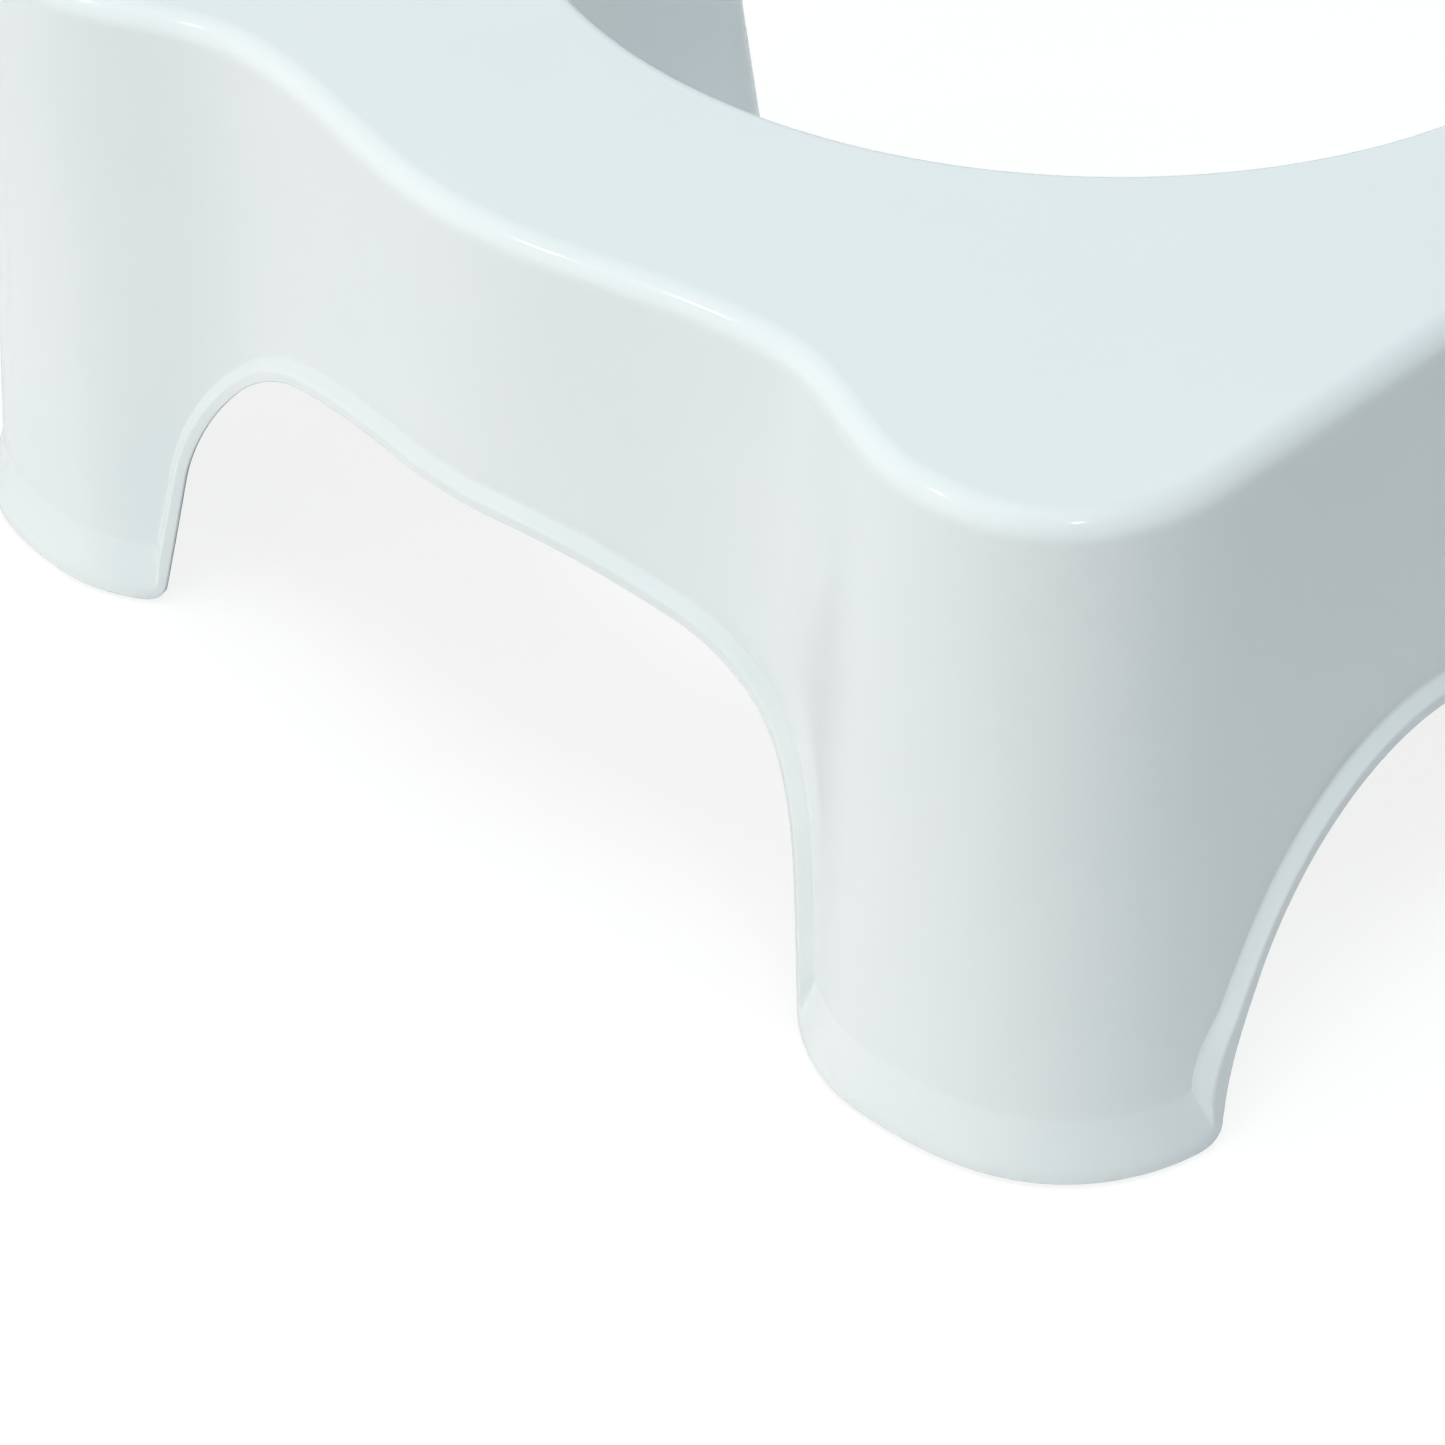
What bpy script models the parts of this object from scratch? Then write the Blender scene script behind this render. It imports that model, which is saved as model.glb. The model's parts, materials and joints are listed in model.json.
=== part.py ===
"""Toilet footstool: a U-shaped squatting stool moulded in one shell, on four rubber foot pads.

Metres, +Z up. The user's side faces -Y and the toilet's side, with the U cut-out, faces +Y.
The origin is on the floor, at the middle of the footprint. The shell is a loft of closed
sections: deck edge, leaning wall, turned-out lip and back up the inside. The lip's bottom
edge rises over the arches and lies flat under the feet. Places on the wall are given as
(length along the deck's outline, height).
"""
import math

import bmesh
import bpy
import numpy as np

# The deck: its height over the floor, its width, and where its front and rear edges lie
HEIGHT = 0.170
DECK_WIDTH = 0.367
POD_FRONT_Y = -0.1190
DECK_REAR_Y = 0.1022

# Wall thickness, and how far each wall leans out between the deck and the floor
WALL = 0.003
LEAN_MIDDLE = 0.0005
LEAN_FRONT = 0.0075
LEAN_SIDE = 0.0165
LEAN_REAR = 0.0245
LEAN_CUTOUT = 0.020

# The lip: narrow and flared at 45 degrees round the arches, tall and steep round the feet
ARCH_LIP = 0.0044
FOOT_LIP = 0.0032
FOOT_LIP_RISE = 0.0156
FOOT_LIP_EDGE = 0.003
FOOT_INSIDE_RISE = 0.010
SOLE_INSIDE = 0.0036
LIP_CHANGE_LENGTH = 0.012
LIP_FILLET = 0.0015
LIP_ROUNDING = 0.0012
FOOT_CORNER = 0.006

# Deck outline: the front edge waves from the middle back to a valley and out to each pod
VALLEY_X = 0.0842
VALLEY_DEPTH = 0.0149
POD_X = 0.1387
MIDDLE_SETBACK = 0.0022
FRONT_CORNER_DEPTH = 0.050
FRONT_CORNER_POWER = 2.3
ARM_WIDTH = 0.0471
REAR_CORNER_RADIUS = 0.030
REAR_CORNER_LIMIT_SHARE = 0.9
ARM_CORNER_RADIUS = 0.008
CUTOUT_DEPTH = 0.145

# Rounding of the deck's edge, outside and at the cut-out
DECK_FILLET = 0.006
CUTOUT_FILLET = 0.004

# Front arch: corners of its edge as x and height, with the radii that round them
FRONT_ARCH_CROWN = (0.0283, 0.0945)
FRONT_ARCH_SHOULDER = (0.0989, 0.0775)
FRONT_ARCH_FOOT_X = 0.1142
FRONT_ARCH_RADII = (0.120, 0.0603)

# Side arches, and the arch in the cut-out wall, measured along that wall from its middle
SIDE_ARCH_MIDDLE_Y = -0.0075
SIDE_ARCH_HALF_WIDTH = 0.0706
SIDE_ARCH_HEIGHT = 0.0774
CUTOUT_ARCH_HALF_WIDTH = 0.100
CUTOUT_ARCH_HEIGHT = 0.094
CUTOUT_ARCH_RADIUS = 0.079

# Ribs under the deck, sunk a little into the deck and the walls that they join
RIB_THICKNESS = 0.002
RIB_DEPTH = 0.012
RIB_TOP_DEPTH = 0.0022
RIB_END_DEPTH = 0.0020
MIDDLE_RIB_SPACING = 0.034
MIDDLE_RIBS_EACH_SIDE = 3
FRONT_RIB_Y = -0.078
ARM_RIB_YS = (-0.010, 0.030, 0.070)

# Foot pads, each seated in a groove in the sole of a foot
PAD_THICKNESS = 0.0019
PAD_PROUD = 0.001
PAD_WIDTH = 0.0042
PAD_MIDDLE_OFFSET = -0.0006
PAD_END_DISTANCE = 0.013
REAR_PAD_LENGTH = 0.062
PAD_EDGE = 0.0004
FIT_GAP = 0.0003

# Mesh density
OUTLINE_STEP = 0.0004
FRONT_ARCH_COLUMNS = 16
FRONT_FOOT_COLUMNS = 11
SIDE_ARCH_COLUMNS = 16
REAR_FOOT_COLUMNS = 22
CUTOUT_ARCH_COLUMNS = 14
CORNER_COLUMNS = 2
WALL_ROWS = 4
DECK_EDGE_ROWS = 4
UNDERSIDE_EDGE_ROWS = 2
LIP_BEND_ROWS = 2
BEND_REACH = 0.03
CORNER_GAP = 0.009
CORNER_FAN = 0.032
DECK_MARGIN = 0.024
PAD_SIDE_POINTS = 10
PAD_END_POINTS = 5
SHARP_ANGLE = math.radians(40)
MERGE_DISTANCE = 0.00005

# Finishes: base colour, roughness and metallic value
SHELL_FINISH = ((0.82, 0.88, 0.89, 1.0), 0.22, 0.0)
PAD_FINISH = ((0.40, 0.42, 0.43, 1.0), 0.75, 0.0)

DECK_HALF_WIDTH = DECK_WIDTH / 2
CUTOUT_HALF_WIDTH = DECK_HALF_WIDTH - ARM_WIDTH
REAR_RADIUS = min(REAR_CORNER_RADIUS, (ARM_WIDTH - ARM_CORNER_RADIUS) * REAR_CORNER_LIMIT_SHARE)
RIM_SLANT = WALL * math.sqrt(0.5)
ARCH_LIP_RISE = RIM_SLANT + ARCH_LIP


def ease(share):
    """A cosine S-curve from 0 to 1."""
    return 0.5 - 0.5 * np.cos(np.pi * np.clip(share, 0, 1))


def steps(start, end):
    """Even values from start to end, about one outline step apart."""
    return np.linspace(start, end, max(int(abs(end - start) / OUTLINE_STEP), 2))


def arc(centre, radii, start, end):
    """An elliptic arc between two angles in degrees, as columns of x and y."""
    angle = np.radians(np.linspace(start, end, int(max(radii) * math.pi / 2 / OUTLINE_STEP)))
    return np.stack([centre[0] + radii[0] * np.cos(angle), centre[1] + radii[1] * np.sin(angle)], axis=1)


def square_arc(centre, radii, power):
    """A quarter from the front round to the right side, squarer than an ellipse above power 2."""
    angle = np.radians(np.linspace(0, 90, int(max(radii) * math.pi / 2 / OUTLINE_STEP)))
    x = centre[0] + radii[0] * np.abs(np.sin(angle)) ** (2 / power)
    y = centre[1] - radii[1] * np.abs(np.cos(angle)) ** (2 / power)
    return np.stack([x, y], axis=1)


def line(start, end):
    """A straight run between two points."""
    count = max(int(math.dist(start, end) / OUTLINE_STEP), 2)
    return np.linspace(start, end, count)


def joined(pieces):
    """One polyline from pieces that each start where the last one ended."""
    return np.concatenate([pieces[0]] + [piece[1:] for piece in pieces[1:]])


def lengths_along(points):
    """The distance travelled along a polyline at each of its points."""
    return np.concatenate([[0], np.cumsum(np.linalg.norm(np.diff(points, axis=0), axis=1))])


class Outline:
    """The deck's sharp outline for x >= 0, from the front middle round to the cut-out's middle."""

    def __init__(self):
        middle_y = POD_FRONT_Y + MIDDLE_SETBACK
        valley_y = POD_FRONT_Y + VALLEY_DEPTH
        to_valley = steps(0, VALLEY_X)
        to_pod = steps(VALLEY_X, POD_X)
        first_wave = middle_y + (valley_y - middle_y) * ease(to_valley / VALLEY_X)
        second_wave = valley_y - VALLEY_DEPTH * ease((to_pod - VALLEY_X) / (POD_X - VALLEY_X))
        side_start = POD_FRONT_Y + FRONT_CORNER_DEPTH
        side_end = DECK_REAR_Y - REAR_RADIUS
        rear_start = DECK_HALF_WIDTH - REAR_RADIUS
        rear_end = CUTOUT_HALF_WIDTH + ARM_CORNER_RADIUS
        arm_y = DECK_REAR_Y - ARM_CORNER_RADIUS
        stretches = {
            "valley": np.stack([to_valley, first_wave], axis=1),
            "pod": np.stack([to_pod, second_wave], axis=1),
            "front_corner": square_arc(
                (POD_X, side_start), (DECK_HALF_WIDTH - POD_X, FRONT_CORNER_DEPTH), FRONT_CORNER_POWER
            ),
            "side": line((DECK_HALF_WIDTH, side_start), (DECK_HALF_WIDTH, side_end)),
            "rear_corner": arc((rear_start, side_end), (REAR_RADIUS, REAR_RADIUS), 0, 90),
            "rear": line((rear_start, DECK_REAR_Y), (rear_end, DECK_REAR_Y)),
            "arm_corner": arc((rear_end, arm_y), (ARM_CORNER_RADIUS, ARM_CORNER_RADIUS), 90, 180),
            "cutout": arc((0, arm_y), (CUTOUT_HALF_WIDTH, CUTOUT_DEPTH - ARM_CORNER_RADIUS), 0, -90),
        }
        self.points = joined(list(stretches.values()))
        self.lengths = lengths_along(self.points)
        counts = np.cumsum([len(piece) - 1 for piece in stretches.values()])
        self.end = {name: float(self.lengths[count]) for name, count in zip(stretches, counts)}
        self.total = float(self.lengths[-1])
        tangents = np.gradient(self.points, self.lengths, axis=0)
        tangents[0] = (1, 0)
        tangents[-1] = (-1, 0)
        self.tangents = tangents / np.linalg.norm(tangents, axis=1)[:, None]
        turn = np.unwrap(np.arctan2(self.tangents[:, 1], self.tangents[:, 0]))
        self.bend = np.abs(np.gradient(turn, self.lengths))

    def at_x(self, x):
        """The outline length at which the front edge reaches an x."""
        front = self.lengths <= self.end["pod"]
        return float(np.interp(x, self.points[front, 0], self.lengths[front]))

    def at_y(self, y):
        """The outline length at which the outer side reaches a y."""
        side = (self.lengths >= self.end["pod"]) & (self.lengths <= self.end["rear_corner"])
        return float(np.interp(y, self.points[side, 1], self.lengths[side]))

    def spread(self, start, end, count):
        """Outline lengths from start to end, closer together where the outline bends."""
        fine = steps(start, end)
        weight = 1 + BEND_REACH * np.interp(fine, self.lengths, self.bend)
        gained = np.concatenate([[0], np.cumsum((weight[1:] + weight[:-1]) / 2)])
        return np.interp(np.linspace(0, gained[-1], count + 1), gained, fine)

    def lean(self, length):
        """How far the wall leans out at the floor, easing round the corners with the wall's direction."""
        length = np.asarray(length, float)
        valley, pod = self.end["valley"], self.end["pod"]
        front = LEAN_MIDDLE + (LEAN_FRONT - LEAN_MIDDLE) * ease((length - valley) / (pod - valley))
        facing_x = np.abs(np.interp(length, self.lengths, self.tangents[:, 1]))
        facing_y = np.sqrt(np.clip(1 - facing_x ** 2, 0, 1))
        sideways = np.where(length < self.end["rear"], LEAN_SIDE, LEAN_CUTOUT)
        along = np.where(length < self.end["side"], front, LEAN_REAR)
        corner = np.hypot(sideways * facing_x, along * facing_y)
        return np.where(length < pod, front, np.where(length > self.end["arm_corner"], LEAN_CUTOUT, corner))

    def fillet(self, length):
        """The deck edge's radius, which tightens round the arm's inner corner."""
        return np.interp(length, (self.end["rear"], self.end["arm_corner"]), (DECK_FILLET, CUTOUT_FILLET))

    def surface(self, length, z, offset):
        """A point on the leaning wall at a height, moved out along the wall's normal."""
        x = np.interp(length, self.lengths, self.points[:, 0])
        y = np.interp(length, self.lengths, self.points[:, 1])
        tangent_x = np.interp(length, self.lengths, self.tangents[:, 0])
        tangent_y = np.interp(length, self.lengths, self.tangents[:, 1])
        out = offset + self.lean(length) * (HEIGHT - z) / HEIGHT
        return np.stack([x + tangent_y * out, y - tangent_x * out, z + 0 * out], axis=-1)


OUTLINE = Outline()
FRONT_FOOT = (OUTLINE.at_x(FRONT_ARCH_FOOT_X), OUTLINE.at_y(SIDE_ARCH_MIDDLE_Y - SIDE_ARCH_HALF_WIDTH))
REAR_FOOT = (OUTLINE.at_y(SIDE_ARCH_MIDDLE_Y + SIDE_ARCH_HALF_WIDTH), OUTLINE.total - CUTOUT_ARCH_HALF_WIDTH)


def unit(vector):
    return vector / np.linalg.norm(vector)


def rounded(corners, radii):
    """A polyline through corners, with each inner corner rounded to its radius."""
    corners = [np.array(corner) for corner in corners]
    pieces = [corners[0][None]]
    for before, corner, after, radius in zip(corners, corners[1:], corners[2:], radii):
        back, on = unit(before - corner), unit(after - corner)
        half = math.acos(float(back @ on)) / 2
        centre = corner + unit(back + on) * radius / math.sin(half)
        reach = radius / math.tan(half)
        first = math.atan2(*(corner + back * reach - centre)[::-1])
        last = math.atan2(*(corner + on * reach - centre)[::-1])
        pieces.append(arc(centre, (radius, radius), math.degrees(first), math.degrees(last)))
    pieces.append(corners[-1][None])
    return np.concatenate(pieces)


def resampled(points, count):
    """The same polyline with count equal steps."""
    along = lengths_along(points)
    wanted = np.linspace(0, along[-1], count + 1)
    return np.stack([np.interp(wanted, along, points[:, axis]) for axis in (0, 1)], axis=1)


def bottom_stretches():
    """The shell's bottom edge as (outline length, height): arch, foot, arch, foot, arch."""
    front_arch = rounded(
        [(0.0, FRONT_ARCH_CROWN[1]), FRONT_ARCH_CROWN, FRONT_ARCH_SHOULDER, (FRONT_ARCH_FOOT_X, PAD_PROUD)],
        FRONT_ARCH_RADII,
    )
    front_arch[:, 0] = [OUTLINE.at_x(x) for x in front_arch[:, 0]]
    side = arc((SIDE_ARCH_MIDDLE_Y, PAD_PROUD), (SIDE_ARCH_HALF_WIDTH, SIDE_ARCH_HEIGHT - PAD_PROUD), 180, 0)
    side[:, 0] = [OUTLINE.at_y(y) for y in side[:, 0]]
    width, height = CUTOUT_ARCH_HALF_WIDTH, CUTOUT_ARCH_HEIGHT
    cutout = rounded([(0.0, height), (width, height), (width, PAD_PROUD)], (CUTOUT_ARCH_RADIUS,))[::-1]
    cutout[:, 0] = OUTLINE.total - cutout[:, 0]

    def foot(span, count):
        lengths = OUTLINE.spread(span[0], span[1], count)
        return np.stack([lengths, np.full(count + 1, PAD_PROUD)], axis=1)

    return [
        resampled(front_arch, FRONT_ARCH_COLUMNS),
        foot(FRONT_FOOT, FRONT_FOOT_COLUMNS),
        resampled(side, SIDE_ARCH_COLUMNS),
        foot(REAR_FOOT, REAR_FOOT_COLUMNS),
        resampled(cutout, CUTOUT_ARCH_COLUMNS),
    ]


def with_corner_columns(stretches):
    """One polyline with even corner steps beside each foot's ends, and the indexes of those ends."""
    pieces, corners = [], []
    count = 0
    gap = CORNER_GAP - FOOT_CORNER
    for index, stretch in enumerate(stretches):
        along = lengths_along(stretch)
        corner = np.linspace(0, FOOT_CORNER, CORNER_COLUMNS + 1)
        first = corner if index > 0 else along[:1]
        last = along[-1] - corner[::-1] if index < len(stretches) - 1 else along[-1:]
        inner = along[(along > first[-1] + gap) & (along < last[0] - gap)]
        wanted = np.concatenate([first, inner, last])
        pieces.append(np.stack([np.interp(wanted, along, stretch[:, axis]) for axis in (0, 1)], axis=1))
        count += len(wanted) - 1
        corners.append(count)
    return joined(pieces), corners[:-1]


def column_plan():
    """For each column: bottom point, crease point, share of the foot's lip, and length along the deck."""
    plain, corners = with_corner_columns(bottom_stretches())
    along = lengths_along(plain)
    run = np.diff(plain, axis=0) / np.diff(along)[:, None]
    normal = np.stack([-run[:, 1], run[:, 0]], axis=1)
    inward = (normal[:-1] + normal[1:]) / (1 + np.sum(normal[:-1] * normal[1:], axis=1))[:, None]
    inward = np.concatenate([normal[:1], inward, normal[-1:]])
    feet = zip(corners[::2], corners[1::2])
    onto_foot = np.max([np.minimum(along - along[start], along[end] - along) for start, end in feet], axis=0)
    crease = plain + inward * np.where(onto_foot < 0, ARCH_LIP_RISE, FOOT_LIP_RISE)[:, None]
    bottom = plain.copy()
    for order, corner in enumerate(corners):
        towards_arch, towards_foot = -run[corner - 1], run[corner]
        if order % 2:
            towards_arch, towards_foot = towards_foot, towards_arch
        sine = abs(float(towards_arch[0] * towards_foot[1] - towards_arch[1] * towards_foot[0]))
        reach = (towards_foot * ARCH_LIP_RISE + towards_arch * FOOT_LIP_RISE) / sine
        for index in np.flatnonzero(np.abs(along - along[corner]) < CORNER_FAN):
            distance = abs(along[index] - along[corner])
            side = towards_foot if onto_foot[index] > 0 else towards_arch
            crease[index] += side * float(reach @ side) * (1 - distance / CORNER_FAN)
            if distance <= FOOT_CORNER:
                t = (onto_foot[index] / FOOT_CORNER + 1) / 2
                round_off = towards_arch * (1 - t) ** 2 + towards_foot * t ** 2
                bottom[index] = plain[corner] + round_off * FOOT_CORNER
        crease[corner] = plain[corner] + reach
    half_change = LIP_CHANGE_LENGTH / 2
    foot_share = ease((onto_foot + half_change) / LIP_CHANGE_LENGTH)
    front, rear = [(start + DECK_MARGIN, end - DECK_MARGIN) for start, end in (FRONT_FOOT, REAR_FOOT)]
    known = [0.0, *along[corners], along[-1]]
    deck = np.interp(along, known, [0.0, *front, *rear, OUTLINE.total])
    return bottom, crease, foot_share, deck


def bend(before, corner, after, reach):
    """Points that round a corner of the lip's section."""
    start = corner + unit(before - corner) * reach
    end = corner + unit(after - corner) * reach
    shares = np.linspace(0, 1, LIP_BEND_ROWS + 1)
    return [(1 - t) ** 2 * start + 2 * t * (1 - t) * corner + t ** 2 * end for t in shares]


def lip_section(foot_share):
    """The crease's rise over the bottom edge, and the lip from the outer wall in, as (rise, out)."""
    inner = ARCH_LIP - RIM_SLANT
    arch = np.array([
        (ARCH_LIP_RISE, 0.0),
        (RIM_SLANT, ARCH_LIP),
        (0.0, inner),
        ((inner + WALL) / 2, (inner - WALL) / 2),
        (inner + WALL, -WALL),
    ])
    foot = np.array([
        (FOOT_LIP_RISE, 0.0),
        (FOOT_LIP_EDGE, FOOT_LIP),
        (0.0, FOOT_LIP),
        (0.0, -SOLE_INSIDE),
        (FOOT_INSIDE_RISE, -WALL),
    ])
    crease, tip, rim, heel, inside = arch + (foot - arch) * foot_share
    wall = crease + np.array([HEIGHT, 0.0])
    points = bend(wall, crease, tip, LIP_FILLET)
    points += bend(crease, tip, rim, LIP_ROUNDING)
    points += bend(tip, rim, heel, LIP_ROUNDING)
    return crease[0], points + [heel, inside]


def shell_column(bottom, crease, foot_share, deck_length):
    """One closed section of the shell: deck edge, wall, lip, inner wall and the deck's underside."""
    fillet = OUTLINE.fillet(deck_length)
    top = np.array([deck_length, HEIGHT - fillet])
    upward = unit(top - crease)
    crease_rise, section = lip_section(foot_share)
    lip = []
    for rise, out in section:
        place = bottom + (crease - bottom) * min(rise / crease_rise, 1) + upward * max(rise - crease_rise, 0)
        lip.append((place, out))

    def edge(radius, rows):
        points = []
        for angle in np.linspace(0, math.pi / 2, rows + 1):
            out = -fillet + radius * math.sin(angle)
            points.append(OUTLINE.surface(deck_length, HEIGHT - fillet + radius * math.cos(angle), out))
        return points

    def wall(low, offset):
        shares = np.linspace(0, 1, WALL_ROWS + 1)[1:-1]
        return [OUTLINE.surface(*(top + (low - top) * share), offset) for share in shares]

    outside = edge(fillet, DECK_EDGE_ROWS) + wall(lip[0][0], 0.0)
    turned = [OUTLINE.surface(*place, out) for place, out in lip]
    inside = edge(fillet - WALL, UNDERSIDE_EDGE_ROWS) + wall(lip[-1][0], -WALL)
    return outside + turned + inside[::-1]


def add_finish(item, name, finish):
    """Give an object its own Principled material."""
    colour, roughness, metallic = finish
    material = bpy.data.materials.new(name)
    material.use_nodes = True
    shader = material.node_tree.nodes["Principled BSDF"]
    shader.inputs["Base Color"].default_value = colour
    shader.inputs["Roughness"].default_value = roughness
    shader.inputs["Metallic"].default_value = metallic
    material.diffuse_color = colour
    item.data.materials.clear()
    item.data.materials.append(material)


def add_object(name, mesh, collection):
    item = bpy.data.objects.new(name, mesh)
    collection.objects.link(item)
    return item


def mesh_from(build, name):
    """A mesh filled by a function that works on a bmesh."""
    work = bmesh.new()
    build(work)
    mesh = bpy.data.meshes.new(name)
    work.to_mesh(mesh)
    work.free()
    return mesh


def build_shell(work):
    """The right half of the shell, open where it meets the other half at the middle plane."""
    columns = []
    for plan in zip(*column_plan()):
        column = shell_column(*plan)
        columns.append([work.verts.new(tuple(position)) for position in column])
    for end in (columns[0], columns[-1]):
        for vertex in end:
            vertex.co.x = 0
    for column, following in zip(columns, columns[1:]):
        for row in range(len(column) - 1):
            work.faces.new((column[row], column[row + 1], following[row + 1], following[row]))
    work.faces.new([column[0] for column in columns])
    work.faces.new([column[-1] for column in reversed(columns)])


def box_mesh(name, low, high):
    """A box between two corners."""
    def build(work):
        bmesh.ops.create_cube(work, size=1)
        for vertex in work.verts:
            vertex.co = [a + (b - a) * (share + 0.5) for a, b, share in zip(low, high, vertex.co)]
    return mesh_from(build, name)


def inside_wall(first, last, axis, value):
    """Where a rib ends: the other coordinate of the wall between two stretches, sunk into it."""
    start = OUTLINE.end[first] if first else 0.0
    stretch = (OUTLINE.lengths >= start) & (OUTLINE.lengths <= OUTLINE.end[last])
    points = OUTLINE.surface(OUTLINE.lengths[stretch], HEIGHT, -RIB_END_DEPTH)
    order = np.argsort(points[:, axis])
    return float(np.interp(value, points[order, axis], points[order, 1 - axis]))


def rib_spans():
    """Each rib as its low and high x and y."""
    half = RIB_THICKNESS / 2
    spans = []
    for step in range(-MIDDLE_RIBS_EACH_SIDE, MIDDLE_RIBS_EACH_SIDE + 1):
        x = step * MIDDLE_RIB_SPACING
        front = inside_wall(None, "front_corner", 0, abs(x))
        back = inside_wall("arm_corner", "cutout", 0, abs(x))
        spans.append((x - half, front, x + half, back))
    reach = inside_wall("pod", "rear_corner", 1, FRONT_RIB_Y)
    spans.append((-reach, FRONT_RIB_Y - half, reach, FRONT_RIB_Y + half))
    arm_middle = DECK_HALF_WIDTH - ARM_WIDTH / 2
    front = inside_wall(None, "front_corner", 0, arm_middle)
    back = inside_wall("side", "rear", 0, arm_middle)
    for x in (-arm_middle, arm_middle):
        spans.append((x - half, front, x + half, back))
    for y in ARM_RIB_YS:
        inner = inside_wall("arm_corner", "cutout", 1, y)
        outer = inside_wall("pod", "rear_corner", 1, y)
        spans.append((inner, y - half, outer, y + half))
        spans.append((-outer, y - half, -inner, y + half))
    return spans


def ribbon(start, end, width):
    """A round-ended strip that follows a foot, as a closed outline on the floor."""
    radius = width / 2
    along = np.linspace(start + radius, end - radius, PAD_SIDE_POINTS)
    turn = np.linspace(-math.pi / 2, math.pi / 2, PAD_END_POINTS + 1)[1:-1]
    middle = PAD_MIDDLE_OFFSET
    sides = [
        (along, np.full(len(along), middle - radius)),
        (end - radius + radius * np.cos(turn), middle + radius * np.sin(turn)),
        (along[::-1], np.full(len(along), middle + radius)),
        (start + radius - radius * np.cos(turn), middle - radius * np.sin(turn)),
    ]
    return np.concatenate([OUTLINE.surface(lengths, 0.0, offsets)[:, :2] for lengths, offsets in sides])


def slab(name, outline, bottom, top, edge, side, collection):
    """A flat strip between two heights, from a filled curve made into one closed mesh."""
    curve = bpy.data.curves.new(name, "CURVE")
    curve.dimensions = "2D"
    curve.fill_mode = "BOTH"
    curve.extrude = (top - bottom) / 2 - edge
    curve.bevel_depth = edge
    curve.bevel_resolution = 0
    curve.offset = -edge
    spline = curve.splines.new("POLY")
    spline.points.add(len(outline) - 1)
    for point, (x, y) in zip(spline.points, outline):
        point.co = (side * x, y, 0, 1)
    spline.use_cyclic_u = True
    drawn = add_object(name + "_curve", curve, collection)
    drawn.location.z = (bottom + top) / 2
    bpy.context.view_layer.update()
    mesh = bpy.data.meshes.new_from_object(drawn.evaluated_get(bpy.context.evaluated_depsgraph_get()))
    work = bmesh.new()
    work.from_mesh(mesh)
    bmesh.ops.remove_doubles(work, verts=work.verts, dist=MERGE_DISTANCE)
    bmesh.ops.recalc_face_normals(work, faces=work.faces)
    work.to_mesh(mesh)
    work.free()
    item = add_object(name, mesh, collection)
    item.matrix_world = drawn.matrix_world.copy()
    bpy.data.objects.remove(drawn)
    return item


def foot_spans():
    """The outline lengths that each pad covers, on the front and the rear foot."""
    front = (FRONT_FOOT[0] + PAD_END_DISTANCE, FRONT_FOOT[1] - PAD_END_DISTANCE)
    rear_start = REAR_FOOT[0] + PAD_END_DISTANCE
    return {"front": front, "rear": (rear_start, rear_start + REAR_PAD_LENGTH)}


def make_pads(parts, cutters):
    """The four rubber pads, and for each the groove that it sits in."""
    for place, (start, end) in foot_spans().items():
        for hand, side in (("left", -1), ("right", 1)):
            name = "foot_pad_" + place + "_" + hand
            outline = ribbon(start, end, PAD_WIDTH)
            pad = slab(name, outline, 0.0, PAD_THICKNESS, PAD_EDGE, side, parts)
            add_finish(pad, name, PAD_FINISH)
            groove = ribbon(start - FIT_GAP, end + FIT_GAP, PAD_WIDTH + 2 * FIT_GAP)
            slab(name + "_groove", groove, -PAD_PROUD, PAD_THICKNESS + FIT_GAP, 0.0, side, cutters)


def make_ribs(ribs):
    """The stiffening ribs, as boxes that the shell takes in."""
    top = HEIGHT - RIB_TOP_DEPTH
    bottom = HEIGHT - WALL - RIB_DEPTH
    for index, (left, front, right, back) in enumerate(rib_spans()):
        name = f"rib_{index:02d}"
        add_object(name, box_mesh(name, (left, front, bottom), (right, back, top)), ribs)


def add_boolean(item, name, operation, collection):
    change = item.modifiers.new(name, "BOOLEAN")
    change.operation = operation
    change.operand_type = "COLLECTION"
    change.collection = collection
    change.solver = "EXACT"


def make_shell(parts, ribs, grooves):
    """The one-piece moulding: both halves, with the ribs joined on and the pad grooves cut."""
    mesh = mesh_from(build_shell, "stool_body")
    body = add_object("stool_body", mesh, parts)
    mirror = body.modifiers.new("other_half", "MIRROR")
    mirror.merge_threshold = MERGE_DISTANCE
    mirror.use_clip = True
    add_boolean(body, "ribs", "UNION", ribs)
    add_boolean(body, "pad_grooves", "DIFFERENCE", grooves)
    add_finish(body, "stool_body", SHELL_FINISH)
    mesh.shade_smooth()
    mesh.set_sharp_from_angle(angle=SHARP_ANGLE)
    return body


def new_collection(name, hidden):
    collection = bpy.data.collections.new(name)
    bpy.context.scene.collection.children.link(collection)
    collection.hide_render = hidden
    return collection


def main():
    for item in list(bpy.data.objects):
        bpy.data.objects.remove(item, do_unlink=True)
    parts = new_collection("toilet_footstool", False)
    ribs = new_collection("ribs", True)
    grooves = new_collection("pad_groove_cutters", True)
    make_pads(parts, grooves)
    make_ribs(ribs)
    make_shell(parts, ribs, grooves)
    for collection in (ribs, grooves):
        for item in collection.objects:
            item.hide_render = True
            item.display_type = "WIRE"


main()
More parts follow.
